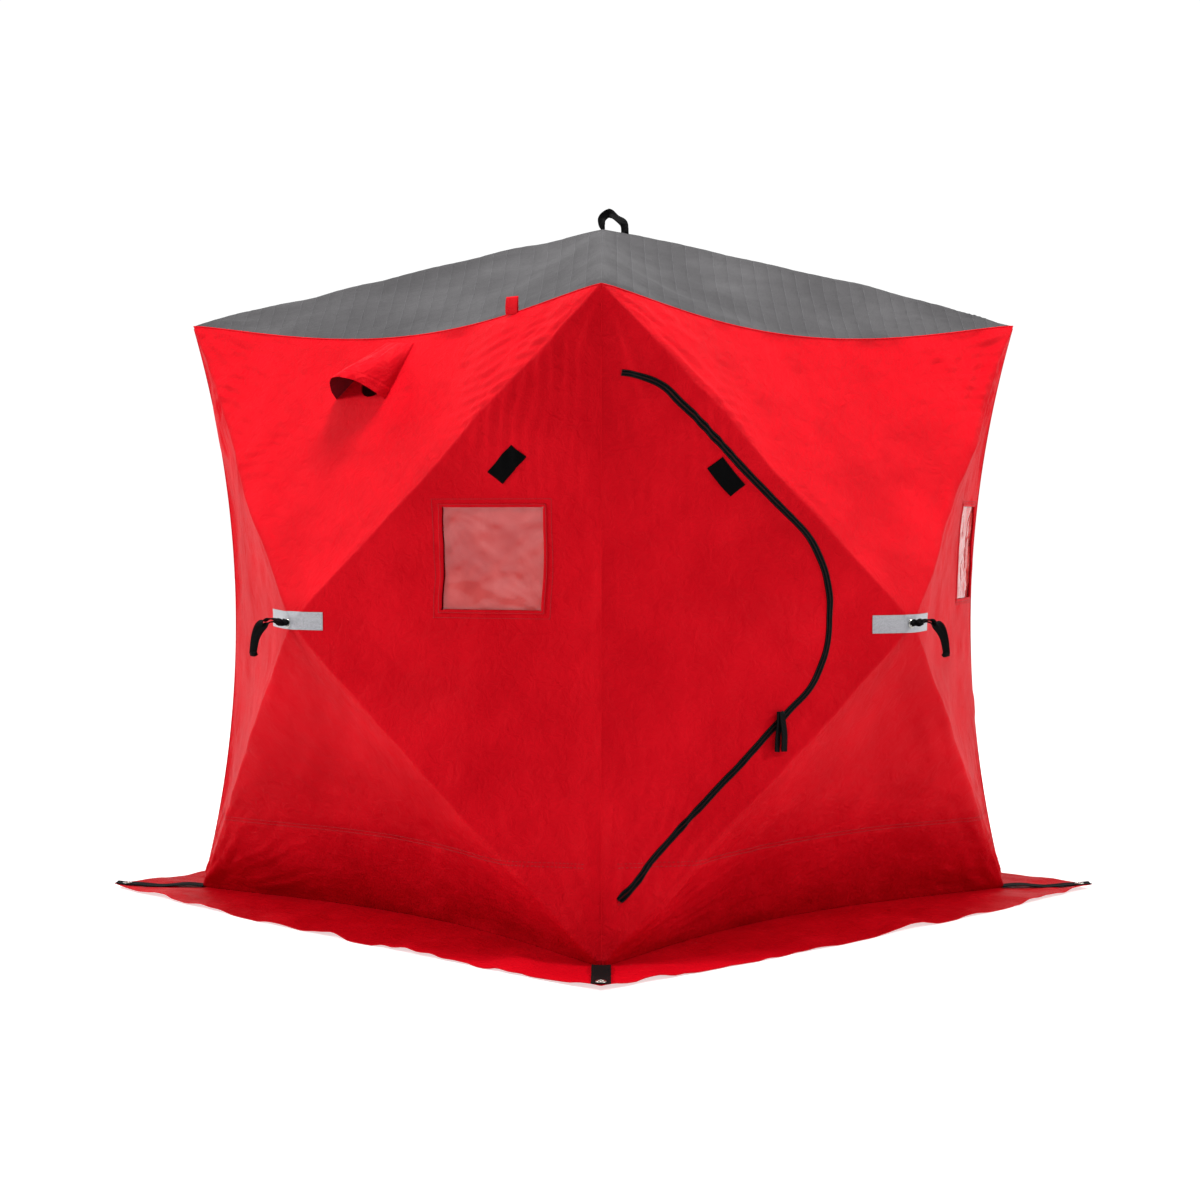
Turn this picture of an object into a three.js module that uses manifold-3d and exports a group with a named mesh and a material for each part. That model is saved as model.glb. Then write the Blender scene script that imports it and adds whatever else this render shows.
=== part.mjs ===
// Pop-up ice shelter: four fabric walls and a roof, each pushed out by a hub and four sprung poles.
// Millimetres, +Z up, the wall with the door at -Y. A wall is drawn facing -Y and turned into place.
// On a wall, "across" runs from -1 to 1, "up" from 0 to 1, and "out" is the distance from the centre line.
import * as THREE from 'three';
import { mergeVertices } from 'three/addons/utils/BufferGeometryUtils.js';
import Module from 'manifold-3d';

const wasm = await Module();
wasm.setup();

// Driving dimensions
const gap = 0.3; // between pieces that touch
const quarterTurn = Math.PI / 2;
const cornerTurns = { front_right: 0, back_right: 1, back_left: 2, front_left: 3 };
const zAxis = new THREE.Vector3(0, 0, 1);

const tent = {
  bottomHalf: 880,
  topHalf: 893,
  cornerHeight: 1740,
  peakHeight: 2038,
  hubOut: 1189,
  hubHeight: 863,
  cornerPull: 83, // how far a corner edge is drawn in at half height
  bottomBow: 140, // how far the foot of a wall is drawn in at its middle
  topPull: 75,
  topSag: 80,
  sagFullness: 1.3,
  rimSegments: 48,
};
const fabric = { thickness: 6, skirtThickness: 4 };
// How far the hub and the rim of a sheet move for each millimetre of depth into it
const depthShare = { hub: 1.1, rim: 0.75 };
const cornerClearance = 0.7; // share of a gap that each of two walls gives up where they meet
const skirt = { cornerHalf: 1075, outerBow: 35, tuckedUnder: 14, segments: 16 };
const frame = {
  poleRadius: 5.5, poleSides: 8,
  hubRadius: 45, hubSides: 16, bodyDepth: 22,
  noseRadius: 12, noseDepth: 24, noseInset: 16, noseOverlap: 0.5,
};
const boot = {
  radius: 24, sides: 12, rings: 7, inset: 45, footHeight: 36, socketDepth: 12, socketRadius: 6.5,
};
const door = {
  noseAcross: -546, noseHeight: 894, noseRadius: 319,
  upperSlope: 47, lowerSlope: -44.5, // degrees from level of the lines square to the two long edges
  shoulderAcross: -700, shoulderRun: 46, shoulderDrop: 4, topHeight: 1521, bottomHeight: 160,
  hingeStrip: 32, hingeGap: 23, edgeGap: 9, hingePoints: 12,
};
const zipper = { halfBand: 12, lift: 8, thickness: 2.4, endMargin: 26, seatOverlap: 1 };
const zipPulls = {
  top: 636, length: 105, width: 13, thickness: 2,
  left: { across: -368, angle: -5 },
  right: { across: -345, angle: 4 },
};
const sideWindow = { across: 537, height: 1043, width: 250, tall: 274, lean: 25 };
const frontWindow = { across: 672, height: 1046, width: 218, tall: 280, lean: 8 };
const pane = { outerDepth: 2, innerDepth: 4 };
const patch = {
  long: 100, wide: 44, thickness: 1.6,
  door: { across: -528, height: 1258, angle: -46 },
  wall: { across: 602, height: 1289, angle: 44 },
};
const tab = { across: 518, foot: 1690, width: 34, tall: 46, turn: -5 };
const reflector = { halfWidth: 115, tall: 57, thickness: 1.2 };
const vent = {
  across: -50, height: 1490, lean: -27, centreOut: 900,
  halfWidth: 105, tall: 165, out: 92, thickness: 3, sides: 16, rings: 10,
  holeRadius: 55, holeRise: 62,
};
const loop = { width: 22, thickness: 4, foot: -2, middle: 32, end: 68, rise: 60 };
const pullStrapSize = { width: 24, thickness: 5, drop: 82, reach: 98 };
const anchor = {
  width: 50, thickness: 2.2, overlap: 5, endInset: 4,
  eyeInset: 34, eyeRadius: 8, ringRadius: 14, ringHeight: 4,
};
// Shapes that are only used to cut with
const cutter = { depth: 900, front: -500, block: 600, past: 60, beyondWall: 400 };

const redFabric = new THREE.MeshStandardMaterial({ color: 0xc8202c, roughness: 0.75, metalness: 0 });
const greyFabric = new THREE.MeshStandardMaterial({ color: 0x5c5c60, roughness: 0.8, metalness: 0 });
const clearVinyl = new THREE.MeshStandardMaterial({ color: 0xe6d6d6, roughness: 0.15, metalness: 0 });
const reflectiveTape = new THREE.MeshStandardMaterial({ color: 0xc9c9cc, roughness: 0.4, metalness: 0 });
const webbing = new THREE.MeshStandardMaterial({ color: 0x17161a, roughness: 0.85, metalness: 0 });
const poleGlass = new THREE.MeshStandardMaterial({ color: 0x22242a, roughness: 0.45, metalness: 0 });
const bootPlastic = new THREE.MeshStandardMaterial({ color: 0x1b1b1d, roughness: 0.6, metalness: 0 });

// Solids
function bare(geometry) {
  geometry.deleteAttribute('normal');
  geometry.deleteAttribute('uv');
  return mergeVertices(geometry, 1e-4);
}

function solid(geometry) {
  const merged = bare(geometry);
  return new wasm.Manifold(new wasm.Mesh({
    numProp: 3,
    vertProperties: Float32Array.from(merged.attributes.position.array),
    triVerts: Uint32Array.from(merged.index.array),
  }));
}

function geometryOf(manifold) {
  const mesh = manifold.getMesh();
  const geometry = new THREE.BufferGeometry();
  geometry.setAttribute('position', new THREE.BufferAttribute(mesh.vertProperties, 3));
  geometry.setIndex(new THREE.BufferAttribute(mesh.triVerts, 1));
  geometry.computeVertexNormals();
  return geometry;
}

const mix = (from, to, share) => from + (to - from) * share;
const bow = (share) => 4 * share * (1 - share);
const degrees = (angle) => THREE.MathUtils.degToRad(angle);

// The stretched surface
function cornerHalf(up) {
  return mix(tent.bottomHalf, tent.topHalf, up) - tent.cornerPull * bow(up);
}

function edgePoint(across, up, depth, clearance) {
  const rimDepth = depthShare.rim * depth;
  const fullness = bow((across + 1) / 2) ** tent.sagFullness;
  const half = cornerHalf(up) - rimDepth;
  const out = half - mix(tent.bottomBow, tent.topPull, up) * fullness;
  const foot = fabric.skirtThickness + gap;
  const height = mix(foot, tent.cornerHeight - rimDepth - clearance, up) - tent.topSag * up * fullness;
  return new THREE.Vector3(across * (half - clearance * cornerClearance), -out, height);
}

function wallRim(side, share, depth) {
  const along = 2 * share - 1;
  if (side === 0) return edgePoint(along, 0, depth, gap);
  if (side === 1) return edgePoint(1, share, depth, gap);
  if (side === 2) return edgePoint(-along, 1, depth, gap);
  return edgePoint(-1, 1 - share, depth, gap);
}

function roofRim(side, share, depth) {
  return edgePoint(2 * share - 1, 1, depth, 0).applyAxisAngle(zAxis, side * quarterTurn);
}

// A closed sheet: a fan from the hub to the rim at one depth, and the same fan at another.
function shell(hub, rim, outerDepth, innerDepth) {
  const fan = bare(new THREE.CylinderGeometry(1, 1, 1, tent.rimSegments, 1));
  const corners = fan.attributes.position;
  for (let i = 0; i < corners.count; i += 1) {
    const depth = corners.getY(i) > 0 ? outerDepth : innerDepth;
    const radius = Math.hypot(corners.getX(i), corners.getZ(i));
    const turns = Math.atan2(corners.getX(i), corners.getZ(i)) / quarterTurn + 4.5;
    const step = Math.round(turns * tent.rimSegments / 4) / (tent.rimSegments / 4);
    const point = radius < 0.5 ? hub(depth) : rim(Math.floor(step) % 4, step % 1, depth);
    corners.setXYZ(i, point.x, point.y, point.z);
  }
  return solid(fan);
}

const wallHub = (depth) => new THREE.Vector3(0, -(tent.hubOut - depthShare.hub * depth), tent.hubHeight);
const roofHub = (depth) => new THREE.Vector3(0, 0, tent.peakHeight - depthShare.hub * depth);
const wallShell = (outerDepth, innerDepth) => shell(wallHub, wallRim, outerDepth, innerDepth);

function prism(outline) {
  const settings = { depth: cutter.depth, bevelEnabled: false, curveSegments: 7 };
  const geometry = new THREE.ExtrudeGeometry(outline, settings);
  return solid(geometry.rotateX(quarterTurn).translate(0, cutter.front, 0));
}

const skin = (outline, outerDepth, innerDepth) => wallShell(outerDepth, innerDepth).intersect(prism(outline));

// Outlines on a wall, across and up
function windowOutline(spec, shrink) {
  const wide = spec.width / 2 - shrink;
  const tall = spec.tall / 2 - shrink;
  return new THREE.Shape([
    new THREE.Vector2(spec.across - wide - spec.lean / 2, spec.height - tall),
    new THREE.Vector2(spec.across + wide - spec.lean / 2, spec.height - tall),
    new THREE.Vector2(spec.across + wide + spec.lean / 2, spec.height + tall),
    new THREE.Vector2(spec.across - wide + spec.lean / 2, spec.height + tall),
  ]);
}

function turnedRectangle(across, height, long, wide, angle) {
  const corner = (x, y) => new THREE.Vector2(x * long / 2, y * wide / 2)
    .rotateAround(new THREE.Vector2(0, 0), degrees(angle))
    .add(new THREE.Vector2(across, height));
  return new THREE.Shape([corner(-1, -1), corner(1, -1), corner(1, 1), corner(-1, 1)]);
}

const hingeAcross = (height) => -(cornerHalf(height / tent.cornerHeight) - door.hingeStrip);

// The door's outline, moved out by grow, with its hinge side moved toward the nose by inset.
function doorOutline(grow, inset) {
  const outline = new THREE.Shape();
  const radius = door.noseRadius + grow;
  const upper = degrees(door.upperSlope);
  const lower = degrees(door.lowerSlope);
  const top = door.topHeight + grow;
  const bottom = door.bottomHeight - grow;
  const side = (height) => hingeAcross(height) + inset;
  const shoulder = new THREE.Vector2(door.noseAcross, door.noseHeight)
    .add(new THREE.Vector2(Math.cos(upper), Math.sin(upper)).multiplyScalar(radius));
  const slide = (shoulder.x - door.shoulderAcross) / Math.sin(upper);
  const lowerTangent = new THREE.Vector2(door.noseAcross, door.noseHeight)
    .add(new THREE.Vector2(Math.cos(lower), Math.sin(lower)).multiplyScalar(radius));
  const lowerRun = (lowerTangent.x - side(bottom)) / -Math.sin(lower);
  outline.moveTo(side(bottom), lowerTangent.y - lowerRun * Math.cos(lower));
  outline.lineTo(lowerTangent.x, lowerTangent.y);
  outline.absarc(door.noseAcross, door.noseHeight, radius, lower, upper, false);
  outline.lineTo(door.shoulderAcross, shoulder.y + slide * Math.cos(upper));
  outline.quadraticCurveTo(door.shoulderAcross - door.shoulderRun, top - door.shoulderDrop, side(top), top);
  for (let i = 1; i < door.hingePoints; i += 1) {
    const height = mix(top, bottom, i / door.hingePoints);
    outline.lineTo(side(height), height);
  }
  return outline;
}

// Fabric
function frontWall() {
  return wallShell(0, fabric.thickness)
    .subtract(prism(doorOutline(0, 0)))
    .subtract(prism(windowOutline(frontWindow, 0)));
}

function sideWall(vented) {
  const wall = wallShell(0, fabric.thickness).subtract(prism(windowOutline(sideWindow, 0)));
  return vented ? wall.subtract(prism(ventHole())) : wall;
}

const windowPane = (spec) => skin(windowOutline(spec, gap), pane.outerDepth, pane.innerDepth);

function skirtStrip() {
  const outline = [];
  for (let i = 0; i <= skirt.segments; i += 1) {
    const share = i / skirt.segments;
    const out = skirt.cornerHalf + skirt.outerBow * bow(share);
    outline.push(new THREE.Vector2(mix(-1, 1, share) * (skirt.cornerHalf - gap), -out));
  }
  for (let i = skirt.segments; i >= 0; i -= 1) {
    const share = i / skirt.segments;
    const half = tent.bottomHalf - skirt.tuckedUnder;
    const out = half - tent.bottomBow * bow(share) ** tent.sagFullness;
    outline.push(new THREE.Vector2(mix(-1, 1, share) * (half - gap), -out));
  }
  const settings = { depth: fabric.skirtThickness, bevelEnabled: false };
  return new THREE.ExtrudeGeometry(new THREE.Shape(outline), settings);
}

// Door
const doorFlap = () => skin(doorOutline(-door.edgeGap, door.hingeGap), 0, fabric.thickness);

function doorZipper() {
  const start = zipper.endMargin;
  const reach = zipper.halfBand;
  const top = zipper.lift + zipper.thickness;
  const inside = prism(doorOutline(-reach, start - cutter.past));
  const cover = skin(doorOutline(reach, start), -top, -zipper.lift);
  const seatOutline = doorOutline(-door.edgeGap - zipper.seatOverlap, start);
  const seat = skin(seatOutline, -zipper.lift - zipper.seatOverlap, -gap);
  return cover.add(seat).subtract(inside);
}

function zipPull({ across, angle }) {
  const middle = zipPulls.top - zipPulls.length / 2;
  const outline = turnedRectangle(across, middle, zipPulls.width, zipPulls.length, angle);
  const depth = -(zipper.lift + zipper.thickness + gap);
  return skin(outline, depth - zipPulls.thickness, depth);
}

// Trim
const sewnOn = (outline, thickness) => skin(outline, -gap - thickness, -gap);

function stickyPatch({ across, height, angle }) {
  return sewnOn(turnedRectangle(across, height, patch.long, patch.wide, angle), patch.thickness);
}

const hubOutline = turnedRectangle(0, tent.hubHeight, 2 * reflector.halfWidth, reflector.tall, 0);
const hubReflector = () => sewnOn(hubOutline, reflector.thickness);

// A loop of tape that stands up from the eave.
function eaveTab() {
  const up = tab.foot / tent.cornerHeight;
  const eave = edgePoint(tab.across / cornerHalf(up), 1, 0, 0);
  const strip = new THREE.BoxGeometry(tab.width, patch.thickness, tab.tall).rotateZ(degrees(tab.turn));
  return strip.translate(tab.across, eave.y - 3 * patch.thickness, tab.foot + tab.tall / 2);
}

const ventAxis = () => new THREE.Vector2(-Math.sin(degrees(vent.lean)), Math.cos(degrees(vent.lean)));

function ventHole() {
  const centre = ventAxis().multiplyScalar(vent.holeRise).add(new THREE.Vector2(vent.across, vent.height));
  const outline = new THREE.Shape();
  outline.absarc(centre.x, centre.y, vent.holeRadius, 0, 2 * Math.PI, false);
  return outline;
}

function ventDome(inset) {
  const dome = new THREE.SphereGeometry(1, vent.sides, vent.rings);
  dome.scale(vent.halfWidth - inset, vent.out - inset, vent.tall - inset);
  dome.rotateY(degrees(-vent.lean));
  return solid(dome.translate(vent.across, -vent.centreOut, vent.height));
}

function ventHood() {
  const below = new THREE.BoxGeometry(cutter.block, cutter.block, cutter.block);
  below.translate(0, 0, -cutter.block / 2).rotateY(degrees(-vent.lean));
  below.translate(vent.across, -vent.centreOut, vent.height);
  const inside = wallShell(-gap, cutter.beyondWall);
  return ventDome(0).subtract(ventDome(vent.thickness)).subtract(solid(below)).subtract(inside);
}

function strapAlong(points, wide, thick) {
  const section = new THREE.Shape([
    new THREE.Vector2(-wide / 2, -thick / 2), new THREE.Vector2(wide / 2, -thick / 2),
    new THREE.Vector2(wide / 2, thick / 2), new THREE.Vector2(-wide / 2, thick / 2),
  ]);
  const path = new THREE.CatmullRomCurve3(points);
  return new THREE.ExtrudeGeometry(section, { steps: 10, extrudePath: path, bevelEnabled: false });
}

function pullStrap() {
  const { width, thickness, drop, reach } = pullStrapSize;
  const root = tent.hubOut + 3 * gap + 1.5 * reflector.thickness;
  const place = (out, rise) => new THREE.Vector3(0, -root - out * reach, tent.hubHeight + rise * drop);
  const route = [place(0, 0.05), place(0.33, 0.12), place(0.76, 0.02), place(0.98, -0.46), place(1, -1)];
  return strapAlong(route, width, thickness);
}

function roofLoop() {
  const place = (along, rise) => new THREE.Vector3(along, 0, tent.peakHeight + rise);
  const route = [
    place(loop.foot, 1), place(loop.foot + 6, 0.57 * loop.rise), place(loop.middle, loop.rise),
    place(loop.end - 8, 0.57 * loop.rise), place(loop.end, -0.25 * loop.rise),
  ];
  return strapAlong(route, loop.width, loop.thickness).rotateZ(-quarterTurn / 2);
}

function anchorStrap() {
  const start = tent.bottomHalf * Math.SQRT2 + anchor.overlap;
  const end = skirt.cornerHalf * Math.SQRT2 - anchor.endInset;
  const level = fabric.skirtThickness + gap;
  const strap = new THREE.BoxGeometry(end - start, anchor.width, anchor.thickness);
  strap.translate((start + end) / 2, 0, level + anchor.thickness / 2);
  const disc = (radius, height) => solid(new THREE.CylinderGeometry(radius, radius, height, 14)
    .rotateX(quarterTurn).translate(end - anchor.eyeInset, 0, level + height / 2));
  const ring = disc(anchor.ringRadius, anchor.ringHeight);
  const eye = disc(anchor.eyeRadius, cutter.past);
  return geometryOf(solid(strap).add(ring).subtract(eye)).rotateZ(-quarterTurn / 2);
}

// Poles and hubs
function pole(from, to, radius) {
  const direction = to.clone().sub(from);
  const length = direction.length();
  const turn = new THREE.Quaternion().setFromUnitVectors(new THREE.Vector3(0, 1, 0), direction.normalize());
  const middle = from.clone().add(to).multiplyScalar(0.5);
  return new THREE.CylinderGeometry(radius, radius, length, frame.poleSides)
    .applyQuaternion(turn).translate(middle.x, middle.y, middle.z);
}

const cornerAt = (half, height) => new THREE.Vector3(half - boot.inset, -half + boot.inset, height);
const topCorner = cornerAt(tent.topHalf, tent.cornerHeight - boot.inset);
const footCorner = cornerAt(tent.bottomHalf, boot.footHeight);
const hubDepth = frame.noseInset + frame.noseDepth + frame.bodyDepth / 2;
const wallHubCentre = new THREE.Vector3(0, -tent.hubOut + hubDepth, tent.hubHeight);
const roofHubCentre = new THREE.Vector3(0, 0, tent.peakHeight - hubDepth);

function poleEnd(corner, hubCentre, socketGap) {
  const back = hubCentre.clone().sub(corner).normalize().multiplyScalar(boot.socketDepth - socketGap);
  return corner.clone().add(back);
}

function hubBody() {
  const { hubRadius, noseRadius, noseDepth, bodyDepth, noseOverlap, hubSides } = frame;
  const nose = new THREE.CylinderGeometry(hubRadius, noseRadius, noseDepth, hubSides);
  nose.translate(0, -(bodyDepth + noseDepth) / 2, 0);
  const body = new THREE.CylinderGeometry(hubRadius, hubRadius, bodyDepth + noseOverlap, hubSides);
  return solid(nose).add(solid(body.translate(0, -noseOverlap / 2, 0)));
}

function mirrored(point) {
  return new THREE.Vector3(-point.x, point.y, point.z);
}

function wallFrame() {
  const hub = hubBody().translate(wallHubCentre.toArray());
  const ends = [topCorner, mirrored(topCorner), footCorner, mirrored(footCorner)];
  return ends.reduce((joined, corner) => joined.add(solid(
    pole(wallHubCentre, poleEnd(corner, wallHubCentre, 0), frame.poleRadius))), hub);
}

function roofFrame() {
  const hub = hubBody().rotate([-90, 0, 0]).translate(roofHubCentre.toArray());
  const arm = pole(roofHubCentre, poleEnd(topCorner, roofHubCentre, 0), frame.poleRadius);
  return [0, 1, 2, 3].reduce(
    (joined, turn) => joined.add(solid(arm.clone().rotateZ(turn * quarterTurn))), hub);
}

// A moulded boot at the front right corner that takes the pole ends.
function cornerBoot(corner, hubCentres) {
  const ball = new THREE.SphereGeometry(boot.radius, boot.sides, boot.rings);
  ball.translate(corner.x, corner.y, corner.z);
  return hubCentres.reduce((rest, centre) => rest.subtract(solid(
    pole(centre, poleEnd(corner, centre, gap), boot.socketRadius))), solid(ball));
}

const rightWallHubCentre = wallHubCentre.clone().applyAxisAngle(zAxis, quarterTurn);

// The assembly
const hut = new THREE.Group();

function addPiece(name, shape, material, turn = 0) {
  const geometry = shape.isBufferGeometry ? shape : geometryOf(shape);
  const mesh = new THREE.Mesh(geometry, material);
  mesh.name = name;
  mesh.rotation.z = turn * quarterTurn;
  hut.add(mesh);
}

const sides = [
  { side: 'front', turn: 0, wall: frontWall(), glass: frontWindow },
  { side: 'right', turn: 1, wall: sideWall(true), glass: sideWindow, vented: true },
  { side: 'back', turn: 2, wall: sideWall(false), glass: sideWindow },
  { side: 'left', turn: 3, wall: sideWall(true), glass: sideWindow, vented: true },
];

for (const { side, turn, wall, glass, vented } of sides) {
  addPiece(`${side}_wall`, wall, redFabric, turn);
  addPiece(`${side}_window`, windowPane(glass), clearVinyl, turn);
  addPiece(`${side}_skirt`, skirtStrip(), redFabric, turn);
  addPiece(`${side}_frame`, wallFrame(), poleGlass, turn);
  addPiece(`${side}_hub_reflector`, hubReflector(), reflectiveTape, turn);
  addPiece(`${side}_pull_strap`, pullStrap(), webbing, turn);
  if (vented) addPiece(`${side}_vent_hood`, ventHood(), redFabric, turn);
  if (side !== 'front') addPiece(`${side}_wall_patch`, stickyPatch(patch.wall), webbing, turn);
}

addPiece('roof', shell(roofHub, roofRim, 0, fabric.thickness), greyFabric);
addPiece('roof_frame', roofFrame(), poleGlass);
addPiece('roof_loop', roofLoop(), webbing);
addPiece('left_eave_tab', eaveTab(), redFabric, 3);

addPiece('door_flap', doorFlap(), redFabric);
addPiece('door_zipper', doorZipper(), webbing);
addPiece('zip_pull_left', zipPull(zipPulls.left), webbing);
addPiece('zip_pull_right', zipPull(zipPulls.right), webbing);
addPiece('door_patch', stickyPatch(patch.door), webbing);

for (const [name, turn] of Object.entries(cornerTurns)) {
  addPiece(`${name}_top_boot`, cornerBoot(topCorner, [wallHubCentre, rightWallHubCentre, roofHubCentre]),
    bootPlastic, turn);
  addPiece(`${name}_foot_boot`,
    cornerBoot(footCorner, [wallHubCentre, rightWallHubCentre]), bootPlastic, turn);
  addPiece(`${name}_anchor_strap`, anchorStrap(), webbing, turn);
}

export default hut;
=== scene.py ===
import math
import bpy
import bmesh
import numpy as np
from mathutils import Matrix, Vector


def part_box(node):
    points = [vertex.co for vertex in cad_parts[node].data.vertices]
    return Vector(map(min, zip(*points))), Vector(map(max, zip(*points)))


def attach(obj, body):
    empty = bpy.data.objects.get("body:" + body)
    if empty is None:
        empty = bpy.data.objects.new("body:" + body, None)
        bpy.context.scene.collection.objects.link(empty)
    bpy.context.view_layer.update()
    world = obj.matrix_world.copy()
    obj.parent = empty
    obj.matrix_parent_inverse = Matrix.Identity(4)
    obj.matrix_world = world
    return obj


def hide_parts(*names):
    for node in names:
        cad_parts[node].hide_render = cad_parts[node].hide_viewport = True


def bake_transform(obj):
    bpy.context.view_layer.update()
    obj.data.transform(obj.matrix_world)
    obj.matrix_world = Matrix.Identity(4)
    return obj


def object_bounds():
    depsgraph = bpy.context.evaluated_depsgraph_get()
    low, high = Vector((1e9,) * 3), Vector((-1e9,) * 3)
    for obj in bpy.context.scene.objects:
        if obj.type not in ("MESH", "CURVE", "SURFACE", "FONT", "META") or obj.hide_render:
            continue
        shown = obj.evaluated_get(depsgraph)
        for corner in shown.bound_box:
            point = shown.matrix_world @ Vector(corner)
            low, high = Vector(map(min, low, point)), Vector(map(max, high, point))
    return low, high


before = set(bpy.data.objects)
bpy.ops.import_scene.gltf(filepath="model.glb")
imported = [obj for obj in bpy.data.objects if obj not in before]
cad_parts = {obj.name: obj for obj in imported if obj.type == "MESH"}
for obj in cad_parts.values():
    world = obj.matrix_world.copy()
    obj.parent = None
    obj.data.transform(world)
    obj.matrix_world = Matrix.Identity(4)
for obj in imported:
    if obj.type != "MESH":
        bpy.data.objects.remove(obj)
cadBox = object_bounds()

scene = bpy.context.scene
sides = {"front": 0, "right": 1, "back": 2, "left": 3}   # quarter turns from the wall with the door
cornerTurns = {"front_right": 0, "back_right": 1, "back_left": 2, "front_left": 3}
quarterTurn = math.pi / 2


def toLinear(code):
    values = [int(code[i:i + 2], 16) / 255 for i in (1, 3, 5)]
    return tuple(v / 12.92 if v <= 0.04045 else ((v + 0.055) / 1.055) ** 2.4 for v in values) + (1.0,)


def addNode(tree, kind, settings=None, links=None):
    # one node with its settings, and links from other sockets into its inputs
    node = tree.nodes.new(kind)
    for key, value in (settings or {}).items():
        if isinstance(key, int) or key in node.inputs:
            node.inputs[key].default_value = value
        else:
            setattr(node, key, value)
    for key, source in (links or {}).items():
        tree.links.new(source, node.inputs[key])
    return node


def startMaterial(name, settings):
    material = bpy.data.materials.new(name)
    material.use_nodes = True
    tree = material.node_tree
    for key, value in settings.items():
        tree.nodes["Principled BSDF"].inputs[key].default_value = value
    return material, tree, addNode(tree, "ShaderNodeTexCoord").outputs["Object"]


def finished(material, colour, normal=None, rough=None):
    tree = material.node_tree
    shader = tree.nodes["Principled BSDF"]
    for key, source in (("Base Color", colour), ("Normal", normal), ("Roughness", rough)):
        if source is not None:
            tree.links.new(source, shader.inputs[key])
    return material


def texture(tree, kind, coords, size, settings=None):
    # a pattern whose size is given in millimetres
    return addNode(tree, kind, {"Scale": 1000 / size, **(settings or {})}, {"Vector": coords})


def colourRamp(tree, level, stops):
    node = addNode(tree, "ShaderNodeValToRGB", None, {"Fac": level})
    elements = node.color_ramp.elements
    for index, (position, code) in ((0, stops[0]), (1, stops[-1])):
        elements[index].position = position
        elements[index].color = toLinear(code)
    for position, code in stops[1:-1]:
        elements.new(position).color = toLinear(code)
    return node.outputs["Color"]


def bumped(tree, height, strength, depth, under=None):
    # a bump with its depth in millimetres, laid over another normal if there is one
    links = {"Height": height}
    if under is not None:
        links["Normal"] = under
    node = addNode(tree, "ShaderNodeBump", {"Strength": strength, "Distance": depth / 1000}, links)
    return node.outputs["Normal"]


def worked(tree, operation, first, second=None):
    # one sum on a socket, with a number or another socket
    settings, links = {"operation": operation}, {0: first}
    if isinstance(second, float):
        settings[1] = second
    elif second is not None:
        links[1] = second
    return addNode(tree, "ShaderNodeMath", settings, links).outputs[0]


# Coated woven polyester: nearly matt, with a fine square weave, soft creases and a little fading in blotches.
# Sizes and depths are in millimetres.
fabricLook = {"threadSpacing": 2.2, "weaveStrength": 0.25, "weaveDepth": 0.6, "blotchSize": 260.0,
              "creaseSize": 38.0, "creaseStrength": 0.6, "creaseDepth": 9.0, "gloss": 0.03}
quiltLook = {"spacing": 42.0, "strength": 0.85, "depth": 5.0, "thread": "#77777a", "threadShows": 0.15}


def wovenPolyester(name, deep, plain, faded, roughness, quilted=False):
    material, tree, coords = startMaterial(name, {
        "Roughness": roughness, "IOR": 1.5, "Specular IOR Level": fabricLook["gloss"]})
    blotch = texture(tree, "ShaderNodeTexNoise", coords, fabricLook["blotchSize"],
                     {"Detail": 5.0, "Roughness": 0.55})
    colour = colourRamp(tree, blotch.outputs["Fac"], ((0.3, deep), (0.5, plain), (0.72, faded)))
    # threads in three directions, so that every wall shows its two crossing sets
    threads = addNode(tree, "ShaderNodeVectorMath", {"operation": "SCALE",
                      "Scale": 2 * math.pi * 1000 / fabricLook["threadSpacing"]}, {0: coords})
    sines = addNode(tree, "ShaderNodeVectorMath", {"operation": "SINE"}, {0: threads.outputs["Vector"]})
    x, y, z = addNode(tree, "ShaderNodeSeparateXYZ", None, {0: sines.outputs["Vector"]}).outputs
    if quilted:
        weave = worked(tree, "MULTIPLY", x, y)
    else:
        weave = worked(tree, "MULTIPLY", worked(tree, "ADD", x, y), z)
    normal = bumped(tree, weave, fabricLook["weaveStrength"], fabricLook["weaveDepth"])
    crease = texture(tree, "ShaderNodeTexNoise", coords, fabricLook["creaseSize"],
                     {"Detail": 6.0, "Roughness": 0.6, "Distortion": 0.6}).outputs["Fac"]
    normal = bumped(tree, crease, fabricLook["creaseStrength"], fabricLook["creaseDepth"], normal)
    rough = addNode(tree, "ShaderNodeMapRange", {"To Min": roughness - 0.07, "To Max": roughness + 0.09},
                    {"Value": crease})
    if quilted:
        # stitched channels: straight lines a fixed way apart, sunk, and lighter where the thread shows
        turned = addNode(tree, "ShaderNodeMapping", {"Rotation": (0.0, 0.0, math.pi / 4)}, {"Vector": coords})
        lines = addNode(tree, "ShaderNodeSeparateXYZ", None, {0: turned.outputs["Vector"]})
        phase = worked(tree, "MULTIPLY", lines.outputs[0], math.pi * 1000 / quiltLook["spacing"])
        fromSeam = worked(tree, "ABSOLUTE", worked(tree, "SINE", phase))
        normal = bumped(tree, worked(tree, "POWER", fromSeam, 0.4), quiltLook["strength"],
                        quiltLook["depth"], normal)
        thread = addNode(tree, "ShaderNodeMapRange", {"From Min": 0.0, "From Max": 0.13,
                         "To Min": quiltLook["threadShows"], "To Max": 0.0}, {"Value": fromSeam})
        mixed = addNode(tree, "ShaderNodeMix", {"data_type": "RGBA", 7: toLinear(quiltLook["thread"])},
                        {0: thread.outputs["Result"], 6: colour})
        colour = mixed.outputs[2]
    return finished(material, colour, normal, rough.outputs["Result"])


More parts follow.
